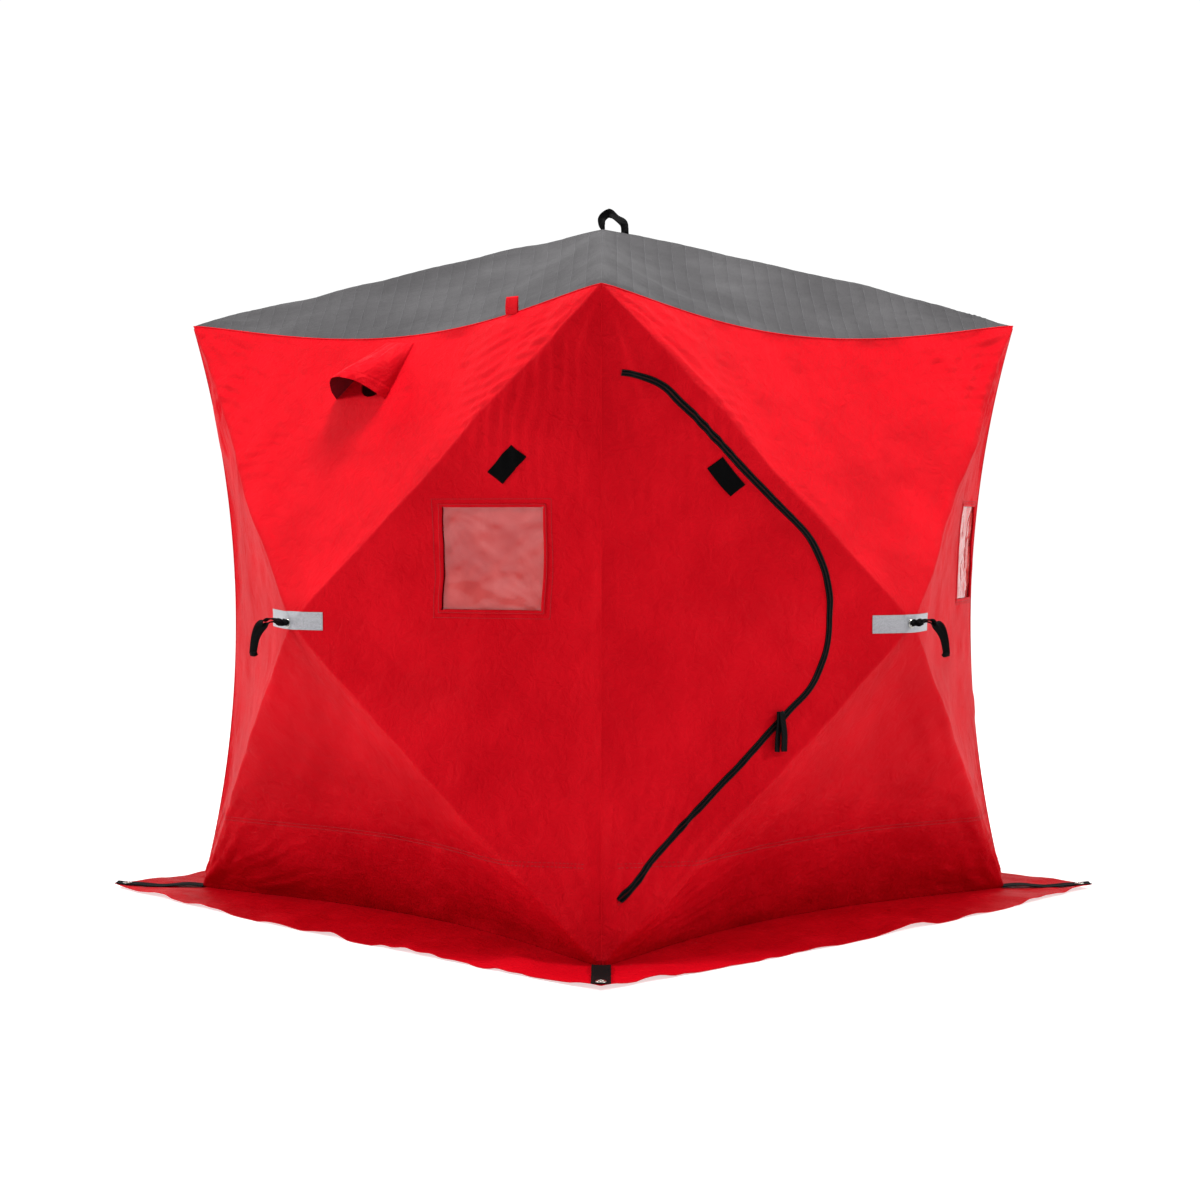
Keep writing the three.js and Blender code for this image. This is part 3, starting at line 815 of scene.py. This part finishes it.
def makeWindow(side):
    spec = windowOf(side)
    seed = seeds[side]
    wide, tall = spec["width"] / 2 + windowLook["overlap"], spec["tall"] / 2 + windowLook["overlap"]
    bm, flat = flatGrid(44, 48)
    across = spec["across"] + flat[:, 0] * wide + flat[:, 1] * spec["lean"] / 2
    height = spec["height"] + flat[:, 1] * tall
    # the film is cut a little short, so that a dark slit shows down its left side
    across = across + windowLook["slit"] * np.clip(-flat[:, 0], 0, 1) ** 3
    crinkle = 0.0014 * softNoise(across + height, height - across, 0.045, seed + 90) \
        + 0.0012 * softNoise(across, height, 0.022, seed + 91)
    # pulls that run in from two corners, like the ribs of a fan
    for u0, v0 in ((-1, 1), (1, -1)):
        away = np.hypot(flat[:, 0] - u0, flat[:, 1] - v0)
        turn = np.arctan2(flat[:, 1] - v0, flat[:, 0] - u0)
        turn = turn + 0.05 * softNoise(across, height, 0.04, seed + 92)
        crinkle = crinkle + 0.0030 * wave(turn * 30) * np.exp(-away / 0.5) * np.clip(away * 4 - 0.3, 0, 1)
    points = wallPoint(across, height, seed, -windowLook["behind"])
    calm = np.clip((1 - np.maximum(np.abs(flat[:, 0]), np.abs(flat[:, 1]))) * 8, 0, 1)
    points[:, 1] += np.clip(crinkle, -0.0015, 0.004) * calm
    setPoints(bm.verts, points)
    makePiece(side + "_window_film", bm, film, replaces=[side + "_window"],
              thickness=0.0006, side=side)
    loop = denseLoop(windowCorners(spec, 0.004), 0.012)
    half = windowLook["bindOut"]
    binding = ribbonOnWall(loop, [-half, 0.0015 - half, 0.0, half - 0.0015, half],
                           [-0.004, 0.0016, 0.0022, 0.0018, -0.0005], seed, closed=True)
    makePiece(side + "_window_binding", binding, redCloth, side=side)


for side in sides:
    makeWindow(side)
print("windows made")


# Flat patches sewn on: hook-and-loop, hub tape and the eave tab
def patchOnWall(corners, seed, lift, cells=(16, 8)):
    bm, flat = flatGrid(*cells)
    spot = insideCorners(corners, (flat[:, 0] + 1) / 2, (flat[:, 1] + 1) / 2)
    setPoints(bm.verts, pointsOn(spot, seed, lift))
    return bm


def turnedCorners(across, height, long, wide, angle):
    turn = math.radians(angle)
    along = np.array([math.cos(turn), math.sin(turn)])
    up = np.array([-along[1], along[0]])
    middle = np.array([across, height])
    return [middle + along * long / 2 * x + up * wide / 2 * y
            for x, y in ((-1, -1), (1, -1), (1, 1), (-1, 1))]


patchLook = {"long": 0.100, "wide": 0.044, "lift": 0.0024, "thickness": 0.0022}


def makeHookPatch(name, side, across, height, angle, node, body="shelter"):
    corners = turnedCorners(across, height, patchLook["long"], patchLook["wide"], angle)
    makePiece(name, patchOnWall(corners, seeds[side], patchLook["lift"]), pile, body=body,
              replaces=[node], thickness=patchLook["thickness"], side=side)


for side in ("left", "back", "right"):
    makeHookPatch(side + "_hook_patch", side, 0.602, 1.289, 44, side + "_wall_patch")
makeHookPatch("door_hook_patch", "front", -0.528, 1.258, -46, "door_patch", body="door")

hubTape = {"long": {"left": 0.300}, "plainLong": 0.246, "wide": 0.049, "lift": 0.0016,
           "aside": {"left": -0.056, "front": 0.006}, "rise": {"left": 0.008}}
for side in sides:
    aside, rise = hubTape["aside"].get(side, 0), hubTape["rise"].get(side, 0)
    long = hubTape["long"].get(side, hubTape["plainLong"])
    corners = turnedCorners(aside, tent["hubHeight"] + rise, long, hubTape["wide"], 0)
    bm = patchOnWall(corners, seeds[side], hubTape["lift"], (60, 14))
    makePiece(side + "_hub_tape", bm, tape, replaces=[side + "_hub_reflector"],
              thickness=0.0014, side=side)


def makeEaveTab():
    # a folded loop of tape caught in the eave seam, standing up past the edge of the roof
    low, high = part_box("left_eave_tab")
    middle, half = (low[1] + high[1]) / 2, 0.023
    bm = flatGrid(8, 26)[0]
    for vert in bm.verts:
        across, run = vert.co.x, vert.co.y          # run goes up the front, over, and down the back
        rise = 1 - abs(run)
        top = math.sqrt(max(0, 1 - (1 - rise) ** 4))
        vert.co = (high[0] - 0.002 + 0.0022 * run * top + 0.004 * rise * rise,
                   middle + across * half + 0.003 * rise, low[2] + (high[2] - low[2]) * rise ** 0.9)
    makePiece("left_eave_flag", bm, redCloth, replaces=["left_eave_tab"], thickness=0.0012)


makeEaveTab()
print("patches made")


# Flat webbing along a curve in space
def smoothCurve(points, count):
    points = [np.array(p, float) for p in points]
    padded = [2 * points[0] - points[1]] + points + [2 * points[-1] - points[-2]]
    line = []
    spans = len(points) - 1
    for k in range(count + 1):
        at = k / count * spans
        i = min(int(at), spans - 1)
        t = at - i
        p0, p1, p2, p3 = padded[i:i + 4]
        line.append(0.5 * (2 * p1 + (p2 - p0) * t + (2 * p0 - 5 * p1 + 4 * p2 - p3) * t * t
                           + (3 * p1 - p0 - 3 * p2 + p3) * t ** 3))
    return np.array(line)


def webbingAlong(points, wideAt, width, thickness, count=48, narrow=None):
    # narrow gives the share of the full width at each part of the way
    line = smoothCurve(points, count)
    ahead = directions(line)
    bm, flat = flatGrid(count, 4)
    for vert, k, across in zip(bm.verts, gridStep(flat[:, 0], count), flat[:, 1]):
        wide = Vector(wideAt(k / count))
        wide = (wide - wide.dot(Vector(ahead[k])) * Vector(ahead[k])).normalized()
        face = Vector(ahead[k]).cross(wide)
        half = width / 2 * (narrow(k / count) if narrow else 1)
        vert.co = Vector(line[k]) + wide * across * half + face * (0.0012 * across * across)
    bmesh.ops.recalc_face_normals(bm, faces=bm.faces)
    bmesh.ops.solidify(bm, geom=bm.faces[:], thickness=thickness)
    bmesh.ops.recalc_face_normals(bm, faces=bm.faces)
    edges = [e for e in bm.edges if len(e.link_faces) == 2 and e.calc_face_angle(0) > 1.2]
    roundEdges(bm, edges, thickness * 0.3, 2)
    return bm


# Pull straps: where each strand and each lump lies, as (out from the wall, rise, aside) from the hub
strapLook = {
    "width": 0.017, "thickness": 0.0030, "aside": {"left": -0.026},
    "strands": (((-0.002, 0.003, 0), (0.020, 0.004, 0.003), (0.052, 0.012, 0.010),
                 (0.076, -0.002, 0.026), (0.084, -0.034, 0.036), (0.085, -0.082, 0.044)),
                ((-0.002, 0.000, 0), (0.019, -0.002, 0.001), (0.048, 0.004, 0.006),
                 (0.068, -0.010, 0.018), (0.080, -0.037, 0.031), (0.084, -0.080, 0.041))),
    "foldedEnd": ((0.083, -0.082, 0.041), (0.0115, 0.0095, 0.0075)),
    "knot": ((0.008, 0.003, 0.000), (0.0095, 0.0085, 0.0095)),
    "outerKnot": ((0.024, 0.004, 0.004), (0.0080, 0.0100, 0.0105)),
}


def makePullStrap(side):
    # a doubled strap knotted outside the eyelet, that stands out and then falls to one side
    shift = strapLook["aside"].get(side, 0)
    up = tent["hubHeight"]
    root = 0.003 - wallPoint(np.array([shift]), np.array([up]), seeds[side])[0][1]
    drift = 1 if side in ("front", "right") else -1
    go = lambda out, rise, aside: (shift + aside * drift, -root - out, up + rise)
    gather = lambda t: 0.45 + 0.55 * min(1, max(0, (t - 0.12) / 0.3))
    flat = Vector((0.7 * drift, -0.7, 0))
    edge = Vector((0, 0, 1))
    lay = lambda t: edge * (max(0, 1 - 2.2 * t) + 0.5 * math.sin(9 * t)) + flat * min(1, 1.6 * t + 0.15)
    bm, second = [webbingAlong([go(*spot) for spot in strand], lay, strapLook["width"],
                               strapLook["thickness"], 56, gather) for strand in strapLook["strands"]]
    joinInto(bm, second)
    for key in ("foldedEnd", "knot", "outerKnot"):
        spot, size = strapLook[key]
        joinInto(bm, lumpAt(go(*spot), size))
    makePiece(side + "_hub_pull", bm, webbing, replaces=[side + "_pull_strap"], side=side)
    ring = eyelet(0.0065, 0.013, 0.0022, (shift, 0.0008 - root, up), "Y")
    makePiece(side + "_hub_eyelet", ring, nickel, side=side)


def lumpAt(spot, size):
    lump = bmesh.new()
    bmesh.ops.create_uvsphere(lump, u_segments=24, v_segments=14, radius=1.0)
    for vert in lump.verts:
        x, y, z = vert.co
        swell = 1 + 0.14 * math.sin(5 * x + 4 * z) + 0.09 * math.cos(9 * z + 3 * y)
        vert.co = Vector((x * size[0], y * size[1], z * size[2])) * swell + Vector(spot)
    return lump


def joinInto(bm, other):
    mesh = bpy.data.meshes.new("joining")
    other.to_mesh(mesh)
    other.free()
    bm.from_mesh(mesh)
    bpy.data.meshes.remove(mesh)


def eyelet(inner, outer, height, spot, axis):
    # a rolled metal ring: a half round section spun about its axis
    bm = bmesh.new()
    middle, reach = (inner + outer) / 2, (outer - inner) / 2
    ring = [bm.verts.new((middle + reach * math.cos(a), 0, height * math.sin(a)))
            for a in np.linspace(0, math.pi, 9)]
    edges = [bm.edges.new((a, b)) for a, b in zip(ring, ring[1:] + ring[:1])]
    bmesh.ops.spin(bm, geom=ring + edges, cent=(0, 0, 0), axis=(0, 0, 1), angle=2 * math.pi, steps=32,
                   use_merge=True)
    bmesh.ops.recalc_face_normals(bm, faces=bm.faces)
    if axis == "Y":
        bm.transform(Matrix.Rotation(math.pi / 2, 4, "X"))
    bm.transform(Matrix.Translation(Vector(spot)))
    return bm


for side in sides:
    makePullStrap(side)


loopLook = {"width": 0.025, "backWidth": 0.018, "thickness": 0.0036, "gap": 0.003, "twist": 0.55}


def makeRoofLoop():
    # a low twisted handle, with its face in the plane that it stands in
    diagonal = Vector((1, -1, 0)).normalized()
    through = Vector((1, 1, 0)).normalized()
    peak = Vector((0, 0, tent["peak"]))
    go = lambda along, rise, off=0.0: tuple(diagonal * along + through * off + peak + Vector((0, 0, rise)))
    route = [(0.001, -0.002), (-0.004, 0.014), (-0.003, 0.032), (0.012, 0.047), (0.026, 0.048),
             (0.044, 0.034), (0.064, 0.017), (0.067, -0.012)]
    line = smoothCurve([go(a, b) for a, b in route], 60)
    ahead = np.gradient(line, axis=0)

    def lay(t):
        inPlane = Vector(ahead[min(60, int(t * 60))]).normalized().cross(through)
        turn = loopLook["twist"] * math.sin(t * 11) + 0.15
        return inPlane * math.cos(turn) + through * math.sin(turn)

    narrow = lambda t: 0.35 + 0.65 * min(1, t / 0.14) if t < 0.5 else 1.0 - 0.1 * math.cos(t * 20)
    bm = webbingAlong([go(a, b) for a, b in route], lay, loopLook["width"], loopLook["thickness"], 60, narrow)
    second = [(a + 0.004 * i / 7, b - 0.0055 * min(i, 4) / 4) for i, (a, b) in enumerate(route)]
    joinInto(bm, webbingAlong([go(a, b, loopLook["gap"]) for a, b in second], lay, loopLook["backWidth"],
                              loopLook["thickness"], 60, narrow))
    makePiece("roof_pull_loop", bm, webbing, replaces=["roof_loop"])


makeRoofLoop()


anchorLook = {"width": 0.050, "thickness": 0.0022, "ringFromEnd": 0.034, "ringInner": 0.008,
              "ringOuter": 0.0145, "ringHeight": 0.0028}


def makeAnchorStrap(name, turn):
    start = tent["bottomHalf"] * math.sqrt(2) - 0.004
    end = skirtShape["cornerHalf"] * math.sqrt(2) - 0.006
    ringAt = end - anchorLook["ringFromEnd"]
    lie = lambda r: 0.0078 + 0.012 * max(0, (r - 1.44) / 0.08) ** 2 + 0.003 * math.sin(r * 40)
    points = [(r, 0, lie(r)) for r in np.linspace(start, end, 9)]
    bm = webbingAlong(points, lambda t: (0, 1, 0), anchorLook["width"], anchorLook["thickness"], 40)
    spin = Matrix.Rotation(turn * quarterTurn - quarterTurn / 2, 4, "Z")
    bm.transform(spin)
    makePiece(name + "_anchor_webbing", bm, webbing, replaces=[name + "_anchor_strap"])
    ring = eyelet(anchorLook["ringInner"], anchorLook["ringOuter"], anchorLook["ringHeight"],
                  (ringAt, 0, lie(ringAt) + 0.0030), "Z")
    hole = bmesh.new()
    bmesh.ops.create_circle(hole, cap_ends=True, segments=24, radius=0.0084,
                            matrix=Matrix.Translation((ringAt, 0, lie(ringAt) + 0.0026)))
    joinInto(ring, hole)
    ring.transform(spin)
    makePiece(name + "_anchor_eyelet", ring, nickel)


for name, turn in cornerTurns.items():
    makeAnchorStrap(name, turn)
print("straps made")


# Zip pulls: two short tabs of doubled webbing hanging from the slider
pullLook = {"width": 0.019, "thickness": 0.0040, "offCloth": 0.0105}


def makeZipPull(name, node, top, drift, lean):
    low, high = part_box(node)
    reach = high[2] - low[2]
    spots = np.linspace(0, 1, 6)
    across = top + drift * spots + 0.002 * np.sin(spots * 5)
    height = high[2] - reach * spots
    line = wallPoint(across, height, seeds["front"], pullLook["offCloth"])
    bm = webbingAlong([tuple(p) for p in line], lambda t: (1, 0.1 * lean, 0), pullLook["width"],
                      pullLook["thickness"], 30)
    makePiece(name, bm, webbing, body="door", replaces=[node])


makeZipPull("zip_pull_tab_left", "zip_pull_left", -0.378, -0.016, 1)
makeZipPull("zip_pull_tab_right", "zip_pull_right", -0.372, -0.004, -1)
slider = bmesh.new()
bmesh.ops.create_cube(slider, size=1.0, matrix=Matrix.Diagonal((0.011, 0.005, 0.016, 1)))
roundEdges(slider, slider.edges[:], 0.0018, 3)
spot = wallPoint(np.array([-0.372]), np.array([0.630]), seeds["front"], 0.0068)[0]
slider.transform(Matrix.Translation(Vector(spot)) @ Matrix.Rotation(-0.42, 4, "Z")
                 @ Matrix.Rotation(0.8, 4, "Y"))
makePiece("zip_slider", slider, nylon, body="door")


# Vent hoods: a flat cloth sewn on along three edges and pushed out at the fourth, with a deep hem
hoodShape = {
    "corners": ((-0.151, 1.488), (0.049, 1.481), (0.092, 1.638), (-0.040, 1.648)),
    "out": 0.098, "rise": 0.060, "hem": 0.031, "tall": 0.160,
}


def makeVentHood(side):
    bm, flat = flatGrid(64, 52)
    u, v = flat[:, 0], (flat[:, 1] + 1) / 2          # u across the mouth, v from the mouth to the sewn top
    s = (u + 1) / 2
    seed = seeds[side] + 300
    spot = insideCorners(hoodShape["corners"], s, v)
    arch = np.clip(1 - np.abs(u + 0.18 * (1 - u ** 2)) ** 2.4, 0, 1) ** 0.75
    lift = hoodShape["out"] * arch * (1 - v ** 1.7)
    crumple = 0.004 * softNoise(u, v * 0.8, 0.30, seed) + 0.0022 * softNoise(u, v, 0.13, seed + 1)
    pinch = 0.006 * np.sin((s * 1.6 + v * 0.7) * 17) * np.clip(v * 1.4 - 0.45, 0, 1) * (1 - np.abs(u) ** 6)
    lift = lift + (crumple + pinch) * arch ** 0.5 * np.clip((1 - v) * 6, 0, 1)
    lift = lift + 0.0037 * np.clip((1 - np.abs(u)) * 14, 0, 1) - 0.0012
    # the hem: doubled cloth with a row of stitches at its upper edge
    deep = hoodShape["hem"] / hoodShape["tall"]
    lift = lift + 0.0020 * np.clip((deep - v) * 60, 0, 1) - 0.0014 * np.exp(-((v - deep) / 0.012) ** 2)
    height = spot[:, 1] + hoodShape["rise"] * arch * (1 - v) ** 1.3
    foot = wallPoint(spot[:, 0], height, seeds[side], 0.0)
    for vert, point, far in zip(bm.verts, foot, lift):
        vert.co = (point[0], point[1] - far, point[2])
    hood = makePiece(side + "_vent_scoop", bm, [redCloth, redLining],
                     replaces=[side + "_vent_hood"], thickness=0.0022, side=side)


for side in ("left", "right"):
    makeVentHood(side)
print("vents made")


# Welts along the corner edges and the eaves, where two panels are sewn together
weltLook = {"cornerRadius": 0.0013, "eaveRadius": 0.0020}


def tubeAlong(line, radius, around=8):
    bm, flat = flatGrid(len(line) - 1, around)
    ahead = directions(line)
    i, j = gridStep(flat[:, 0], len(line) - 1), gridStep(flat[:, 1], around)
    for vert, k, m in zip(bm.verts, i, j):
        first = Vector(ahead[k]).orthogonal() if abs(ahead[k][2]) < 0.1 else Vector((1, 1, 0))
        first = (first - first.dot(Vector(ahead[k])) * Vector(ahead[k])).normalized()
        second = Vector(ahead[k]).cross(first)
        turn = 2 * math.pi * m / around
        vert.co = Vector(line[k]) + radius * (first * math.cos(turn) + second * math.sin(turn))
    bmesh.ops.remove_doubles(bm, verts=bm.verts, dist=1e-6)
    bmesh.ops.holes_fill(bm, edges=[e for e in bm.edges if len(e.link_faces) == 1], sides=around + 2)
    bmesh.ops.recalc_face_normals(bm, faces=bm.faces)
    return bm


def cornerWelt(name, turn):
    up = np.linspace(0.002, 0.995, 120)
    across, out, height = edgePoint(np.ones(120), up)
    line = np.stack([across + 0.0005, -out - 0.0005, height], -1)
    bm = tubeAlong(line, weltLook["cornerRadius"])
    bm.transform(Matrix.Rotation(turn * quarterTurn, 4, "Z"))
    makePiece(name + "_corner_welt", bm, redCloth)


for name, turn in cornerTurns.items():
    cornerWelt(name, turn)


def eaveWelt(side):
    across, out, height = edgePoint(np.linspace(-0.999, 0.999, 150), np.ones(150))
    bm = tubeAlong(np.stack([across, -out + 0.0002, height], -1), weltLook["eaveRadius"])
    makePiece(side + "_eave_welt", bm, redCloth, side=side)


for side in sides:
    eaveWelt(side)


# Stitching: a row of short raised threads along each sewn line
stitchLook = {"pitch": 0.0055, "seamPitch": 0.009, "filled": 0.66, "width": 0.0009, "height": 0.0008}


def stitchRow(line, seed, lift, pitch=stitchLook["pitch"]):
    line = evenly(np.asarray(line), pitch)
    ahead = np.gradient(line, axis=0) * 0.1
    return barsOnWall(line, ahead, leftOf(ahead), seed, lift,
                      (pitch * stitchLook["filled"], stitchLook["width"], stitchLook["height"]))


def closedLoop(corners):
    return np.array(list(corners) + [corners[0]], float)


for side in sides:
    seed = seeds[side]
    spec = windowOf(side)
    bm = stitchRow(closedLoop(windowCorners(spec, 0.006)), seed, 0.0025)
    grow = windowLook["frontStitchOut" if side == "front" else "stitchOut"]
    joinInto(bm, stitchRow(closedLoop(windowCorners(spec, grow)), seed, 0.0006))
    makePiece(side + "_window_stitches", bm, redThread, side=side, smooth=False)
    rows = bmesh.new()
    across = np.linspace(-seam["half"], seam["half"], 60)
    for level in seam["rows"]:
        row = np.stack([across, across * 0 + level], -1)
        joinInto(rows, stitchRow(row, seed, 0.0005, stitchLook["seamPitch"]))
    makePiece(side + "_seam_stitches", rows, redThread, side=side, smooth=False)
bm = stitchRow(zipRun(-0.0062), seeds["front"], 0.0026)
piece = makePiece("zip_door_stitches", bm, blackThread, body=None, smooth=False)
foldAtHinge(piece)
makePiece("zip_wall_stitches", stitchRow(zipRun(0.0062), seeds["front"], 0.0026), blackThread, smooth=False)
print("stitches made")


# CAD nodes that stay get their own finishes
for name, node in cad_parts.items():
    finish = nylon if name.endswith("_boot") else fibreglass if name.endswith("_frame") else None
    if finish:
        for index in range(max(1, len(node.data.materials))):
            if index < len(node.data.materials):
                node.data.materials[index] = finish
            else:
                node.data.materials.append(finish)


# Floor, light and camera
def makeStage():
    floor = bmesh.new()
    bmesh.ops.create_grid(floor, x_segments=1, y_segments=1, size=30.0)
    mesh = bpy.data.meshes.new("floor")
    floor.to_mesh(mesh)
    floor.free()
    pale = startMaterial("pale_floor", {"Base Color": toLinear("#c4c4c4"), "Roughness": 0.9,
                         "Emission Color": toLinear("#ffffff"), "Emission Strength": 0.62})[0]
    mesh.materials.append(pale)
    board = bpy.data.objects.new("floor", mesh)
    board.location.z = cadBox[0][2] - 0.0005
    scene.collection.objects.link(board)


studio = {"brightToward": (0.55, 0.55, 0.63), "bright": 1.04, "dim": 0.46}
lights = {
    "overhead": {"place": (-0.6, -0.6, 5.4), "size": 1.2, "power": 330.0},
    "left": {"place": (-5.0, 2.6, 4.2), "size": 1.0, "power": 280.0},
    "right": {"place": (2.6, -5.0, 4.2), "size": 1.0, "power": 240.0},
}


def makeLights():
    for name, spec in lights.items():
        data = bpy.data.lights.new(name, "AREA")
        data.shape = "SQUARE"
        data.size = spec["size"]
        data.energy = spec["power"]
        lamp = bpy.data.objects.new(name, data)
        lamp.location = spec["place"]
        toHut = Vector((0, 0, 1.0)) - Vector(spec["place"])
        lamp.rotation_euler = toHut.to_track_quat("-Z", "Y").to_euler()
        scene.collection.objects.link(lamp)
    # a studio that is bright above and behind the hut, and dim on the camera's side
    world = bpy.data.worlds.new("studio")
    world.use_nodes = True
    tree = world.node_tree
    coords = addNode(tree, "ShaderNodeTexCoord")
    facing = addNode(tree, "ShaderNodeVectorMath", {"operation": "DOT_PRODUCT", 1: studio["brightToward"]},
                     {0: coords.outputs["Generated"]})
    level = addNode(tree, "ShaderNodeMapRange", {"interpolation_type": "SMOOTHSTEP", "From Min": -0.4,
                    "From Max": 0.6, "To Min": studio["dim"], "To Max": studio["bright"]},
                    {"Value": facing.outputs["Value"]})
    tree.links.new(level.outputs["Result"], tree.nodes["Background"].inputs["Strength"])
    tree.nodes["Background"].inputs["Color"].default_value = (1, 1, 1, 1)
    scene.world = world


camera = {"distance": 6.920, "height": 1.150, "tilt": 2.10, "heading": -44.73, "lens": 67.1,
          "offset": 0.0235}


def makeCamera():
    data = bpy.data.cameras.new("camera")
    data.lens = camera["lens"]
    data.sensor_width = 36.0
    eye = bpy.data.objects.new("camera", data)
    back = camera["distance"] / math.sqrt(2)
    aside = camera["offset"] / math.sqrt(2)
    eye.location = (-back + aside, -back - aside, camera["height"])
    eye.rotation_euler = (math.radians(90 - camera["tilt"]), 0, math.radians(camera["heading"]))
    scene.collection.objects.link(eye)
    scene.camera = eye


makeStage()
makeLights()
makeCamera()
scene.view_settings.view_transform = "Standard"
print("stage made")
